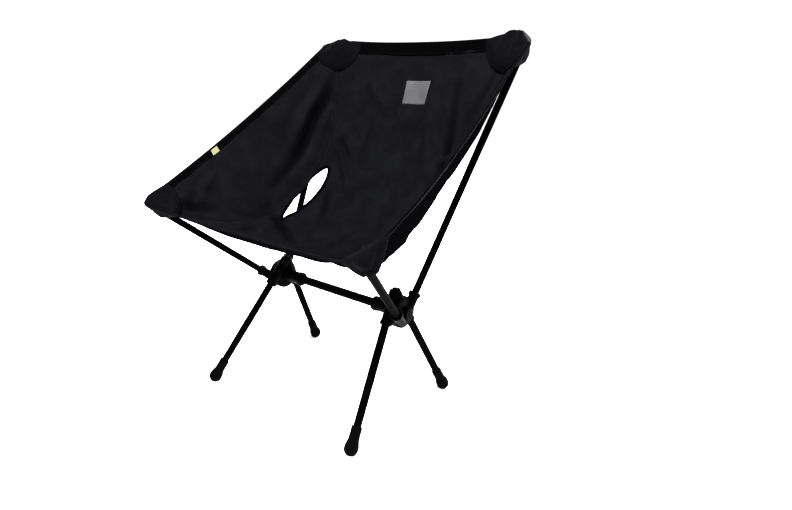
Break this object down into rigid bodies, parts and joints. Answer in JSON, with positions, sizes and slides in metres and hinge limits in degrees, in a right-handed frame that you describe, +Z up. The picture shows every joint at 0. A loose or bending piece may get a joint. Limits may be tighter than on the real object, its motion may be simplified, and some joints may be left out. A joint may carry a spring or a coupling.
{
  "type": "ultralight backpacking chair",
  "caption": "Low folding camp chair with a black plug-together pole frame on two moulded hubs and a sewn charcoal fabric sling seat with leaf-shaped side vents.",
  "frame": {"origin": "on the floor, under the middle of the whole chair", "axes": "+Z up, the chair faces -Y, +X is on the right when looking along +Y from the front"},
  "size_m": [0.5486, 0.5012, 0.6565],
  "materials": {
    "frame_tube": "black anodised aluminium tube, satin",
    "ferrule": "bare drawn aluminium",
    "hub_plastic": "moulded black nylon, slightly glossy",
    "cap_plastic": "glossy black cap",
    "bolt": "zinc-plated steel",
    "tip_plastic": "moulded black plastic",
    "foot_rubber": "matte black rubber",
    "shock_cord": "braided elastic cord",
    "seat_cloth": "plain-woven nylon, charcoal",
    "hem_cloth": "folded and stitched hem of the same cloth",
    "pocket_cloth": "doubled corner cloth with stitching",
    "label": "blank woven label",
    "tag": "blank folded tag"
  },
  "bodies": {
    "back_leg_left": {"back_leg_bush_left": "tip_plastic", "back_leg_foot_left": "foot_rubber", "back_leg_left": "frame_tube"},
    "back_leg_right": {"back_leg_bush_right": "tip_plastic", "back_leg_foot_right": "foot_rubber", "back_leg_right": "frame_tube"},
    "root": {"back_leg_cord_left": "shock_cord", "back_leg_cord_right": "shock_cord", "back_pole_cord_lower_left": "shock_cord", "back_pole_cord_lower_right": "shock_cord", "crossbar": "frame_tube", "crossbar_plug_left": "tip_plastic", "crossbar_plug_right": "tip_plastic", "front_hem": "hem_cloth", "front_leg_cord_left": "shock_cord", "front_leg_cord_right": "shock_cord", "front_pole_cord_left": "shock_cord", "front_pole_cord_right": "shock_cord", "hub_bolt_left": "bolt", "hub_bolt_right": "bolt", "hub_cap_left": "cap_plastic", "hub_cap_right": "cap_plastic", "hub_left": "hub_plastic", "hub_right": "hub_plastic", "seat_label": "label", "seat_panel": "seat_cloth", "side_hem_left": "hem_cloth", "side_hem_right": "hem_cloth", "side_panel_left": "seat_cloth", "side_panel_right": "seat_cloth", "side_tag": "tag", "top_hem": "hem_cloth"},
    "back_pole_lower_left": {"back_pole_cord_upper_left": "shock_cord", "back_pole_ferrule_left": "ferrule", "back_pole_lower_left": "frame_tube"},
    "back_pole_lower_right": {"back_pole_cord_upper_right": "shock_cord", "back_pole_ferrule_right": "ferrule", "back_pole_lower_right": "frame_tube"},
    "back_pole_upper_left": {"back_pole_pocket_left": "pocket_cloth", "back_pole_tip_left": "tip_plastic", "back_pole_upper_left": "frame_tube"},
    "back_pole_upper_right": {"back_pole_pocket_right": "pocket_cloth", "back_pole_tip_right": "tip_plastic", "back_pole_upper_right": "frame_tube"},
    "front_leg_left": {"front_leg_bush_left": "tip_plastic", "front_leg_foot_left": "foot_rubber", "front_leg_left": "frame_tube"},
    "front_leg_right": {"front_leg_bush_right": "tip_plastic", "front_leg_foot_right": "foot_rubber", "front_leg_right": "frame_tube"},
    "front_pole_left": {"front_pole_left": "frame_tube", "front_pole_pocket_left": "pocket_cloth", "front_pole_tip_left": "tip_plastic"},
    "front_pole_right": {"front_pole_pocket_right": "pocket_cloth", "front_pole_right": "frame_tube", "front_pole_tip_right": "tip_plastic"}
  },
  "joints": [
    {"name": "front_leg_left_pull", "type": "slide", "parent": "root", "child": "front_leg_left", "axis": [-0.1538, -0.5956, -0.7884], "range_m": [0, 0.03], "stiffness_N_per_m": 250, "springref_m": -0.04},
    {"name": "back_leg_left_pull", "type": "slide", "parent": "root", "child": "back_leg_left", "axis": [-0.149, 0.4469, -0.8821], "range_m": [0, 0.03], "stiffness_N_per_m": 250, "springref_m": -0.04},
    {"name": "front_pole_left_pull", "type": "slide", "parent": "root", "child": "front_pole_left", "axis": [-0.3333, -0.7113, 0.6188], "range_m": [0, 0.032], "stiffness_N_per_m": 250, "springref_m": -0.04},
    {"name": "back_pole_lower_left_pull", "type": "slide", "parent": "root", "child": "back_pole_lower_left", "axis": [-0.1295, 0.4667, 0.8749], "range_m": [0, 0.032], "stiffness_N_per_m": 250, "springref_m": -0.04},
    {"name": "back_pole_upper_left_pull", "type": "slide", "parent": "back_pole_lower_left", "child": "back_pole_upper_left", "axis": [-0.1295, 0.4667, 0.8749], "range_m": [0, 0.03], "stiffness_N_per_m": 250, "springref_m": -0.04},
    {"name": "front_leg_right_pull", "type": "slide", "parent": "root", "child": "front_leg_right", "axis": [0.1538, -0.5956, -0.7884], "range_m": [0, 0.03], "stiffness_N_per_m": 250, "springref_m": -0.04},
    {"name": "back_leg_right_pull", "type": "slide", "parent": "root", "child": "back_leg_right", "axis": [0.149, 0.4469, -0.8821], "range_m": [0, 0.03], "stiffness_N_per_m": 250, "springref_m": -0.04},
    {"name": "front_pole_right_pull", "type": "slide", "parent": "root", "child": "front_pole_right", "axis": [0.3333, -0.7113, 0.6188], "range_m": [0, 0.032], "stiffness_N_per_m": 250, "springref_m": -0.04},
    {"name": "back_pole_lower_right_pull", "type": "slide", "parent": "root", "child": "back_pole_lower_right", "axis": [0.1295, 0.4667, 0.8749], "range_m": [0, 0.032], "stiffness_N_per_m": 250, "springref_m": -0.04},
    {"name": "back_pole_upper_right_pull", "type": "slide", "parent": "back_pole_lower_right", "child": "back_pole_upper_right", "axis": [0.1295, 0.4667, 0.8749], "range_m": [0, 0.03], "stiffness_N_per_m": 250, "springref_m": -0.04}
  ]
}
